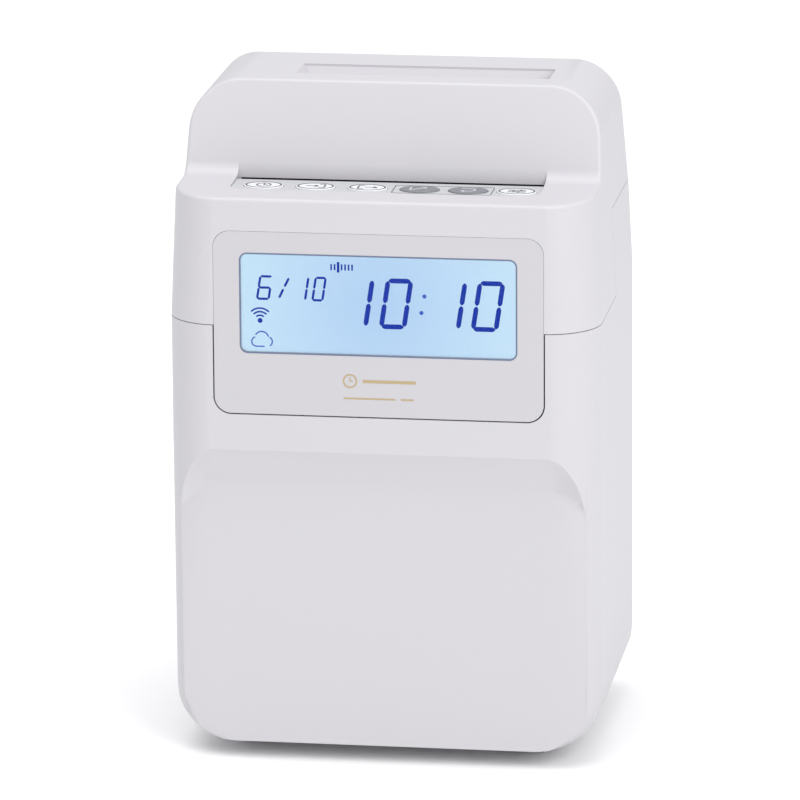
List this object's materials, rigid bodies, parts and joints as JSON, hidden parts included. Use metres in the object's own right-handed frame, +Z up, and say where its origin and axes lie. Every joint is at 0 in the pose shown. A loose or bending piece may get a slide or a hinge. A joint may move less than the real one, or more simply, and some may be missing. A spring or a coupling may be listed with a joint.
{
  "type": "punch time clock",
  "caption": "Table-top punch time clock with hinged top cover, backlit display, row of oval keys and a card slot over a hidden print mechanism.",
  "frame": {"origin": "middle of the footprint, on the surface the feet rest on", "axes": "+Z up, -Y out of the front with the display and keys, +X towards the right-hand side as seen from the front"},
  "size_m": [0.155, 0.117, 0.2428],
  "materials": {
    "case_white": "moulded ABS, fine satin texture",
    "panel_white": "printed overlay, smooth satin",
    "window_clear": "clear acrylic lens",
    "lcd_face": "backlit liquid crystal glass",
    "module_black": "moulded black plastic",
    "strip_grey": "satin printed strip",
    "key_light": "satin key cap",
    "key_dark": "satin key cap, grey",
    "board_green": "glass-epoxy board with solder mask",
    "steel_plate": "zinc-plated sheet steel",
    "steel_bright": "ground steel rod",
    "rubber_black": "moulded rubber",
    "rubber_grey": "moulded rubber pad",
    "chute_grey": "moulded dark grey plastic",
    "motor_can": "drawn motor can",
    "head_cast": "die-cast finned print head",
    "cassette_black": "moulded black plastic",
    "ribbon_ink": "woven inked ribbon",
    "knob_blue": "moulded blue knob",
    "nickel": "nickel-plated brass",
    "battery_wrap": "shrink sleeve",
    "socket_black": "moulded black plastic"
  },
  "bodies": {
    "case": {"front_case": "case_white", "rear_case": "case_white", "hinge_pins": "steel_bright", "chassis": "steel_plate", "chute_front": "chute_grey", "chute_rear": "chute_grey", "card_stop": "chute_grey", "platen": "rubber_black", "card_sensor": "module_black", "feed_motor": "motor_can", "carriage_rail": "steel_bright", "carriage_motor": "motor_can", "ribbon_cassette": "cassette_black", "ink_ribbon": "ribbon_ink", "main_board": "board_green", "board_standoffs": "nickel", "buzzer": "module_black", "power_board": "board_green", "backup_battery": "battery_wrap", "dc_inlet": "socket_black", "lan_socket": "socket_black", "rubber_feet": "rubber_grey", "chassis_screws": "steel_bright"},
    "cover": {"top_cover": "case_white", "display_panel": "panel_white", "display_window": "window_clear", "lcd_glass": "lcd_face", "lcd_module": "module_black", "key_panel": "strip_grey", "key_board": "board_green", "lock_barrel": "nickel"},
    "lock": {"lock_plug": "nickel"},
    "feed": {"feed_shaft": "steel_bright", "feed_rollers": "rubber_black"},
    "pinch": {"pinch_shaft": "steel_bright", "pinch_rollers": "rubber_grey"},
    "carriage": {"head_carriage": "cassette_black", "print_head": "head_cast"},
    "screw": {"lead_screw": "steel_bright"},
    "knob": {"ribbon_knob": "knob_blue"},
    "key_1_body": {"key_1": "key_light"},
    "key_2_body": {"key_2": "key_light"},
    "key_3_body": {"key_3": "key_light"},
    "key_4_body": {"key_4": "key_dark"},
    "key_5_body": {"key_5": "key_dark"},
    "key_6_body": {"key_6": "key_light"}
  },
  "joints": [
    {"name": "cover_hinge", "type": "hinge", "parent": "case", "child": "cover", "pos_m": [0, 0.0521, 0.195], "axis": [-1, 0, 0], "range_deg": [0, 65]},
    {"name": "lock_turn", "type": "hinge", "parent": "cover", "child": "lock", "pos_m": [-0.07, -0.0105, 0.181], "axis": [1, 0, 0], "range_deg": [0, 90]},
    {"name": "feed_spin", "type": "hinge", "parent": "case", "child": "feed", "pos_m": [0, -0.03215, 0.1455], "axis": [1, 0, 0], "continuous": true},
    {"name": "pinch_spin", "type": "hinge", "parent": "case", "child": "pinch", "pos_m": [0, -0.01785, 0.1455], "axis": [1, 0, 0], "continuous": true},
    {"name": "carriage_slide", "type": "slide", "parent": "case", "child": "carriage", "axis": [1, 0, 0], "range_m": [-0.028, 0.028]},
    {"name": "screw_spin", "type": "hinge", "parent": "case", "child": "screw", "pos_m": [0, -0.0385, 0.16], "axis": [1, 0, 0], "range_deg": [-1010, 1010]},
    {"name": "knob_spin", "type": "hinge", "parent": "case", "child": "knob", "pos_m": [0.034, -0.0376, 0.198], "axis": [0, 0, 1], "continuous": true},
    {"name": "key_1_press", "type": "slide", "parent": "cover", "child": "key_1_body", "axis": [0, 0, -1], "range_m": [0, 0.0008], "stiffness_N_per_m": 1200, "springref_m": -0.0002},
    {"name": "key_2_press", "type": "slide", "parent": "cover", "child": "key_2_body", "axis": [0, 0, -1], "range_m": [0, 0.0008], "stiffness_N_per_m": 1200, "springref_m": -0.0002},
    {"name": "key_3_press", "type": "slide", "parent": "cover", "child": "key_3_body", "axis": [0, 0, -1], "range_m": [0, 0.0008], "stiffness_N_per_m": 1200, "springref_m": -0.0002},
    {"name": "key_4_press", "type": "slide", "parent": "cover", "child": "key_4_body", "axis": [0, 0, -1], "range_m": [0, 0.0008], "stiffness_N_per_m": 1200, "springref_m": -0.0002},
    {"name": "key_5_press", "type": "slide", "parent": "cover", "child": "key_5_body", "axis": [0, 0, -1], "range_m": [0, 0.0008], "stiffness_N_per_m": 1200, "springref_m": -0.0002},
    {"name": "key_6_press", "type": "slide", "parent": "cover", "child": "key_6_body", "axis": [0, 0, -1], "range_m": [0, 0.0008], "stiffness_N_per_m": 1200, "springref_m": -0.0002}
  ],
  "couplings": [
    {"joint": "pinch_spin", "follows": "feed_spin", "ratio": -1.1538},
    {"joint": "screw_spin", "follows": "carriage_slide", "rad_per_m": 628.32}
  ]
}
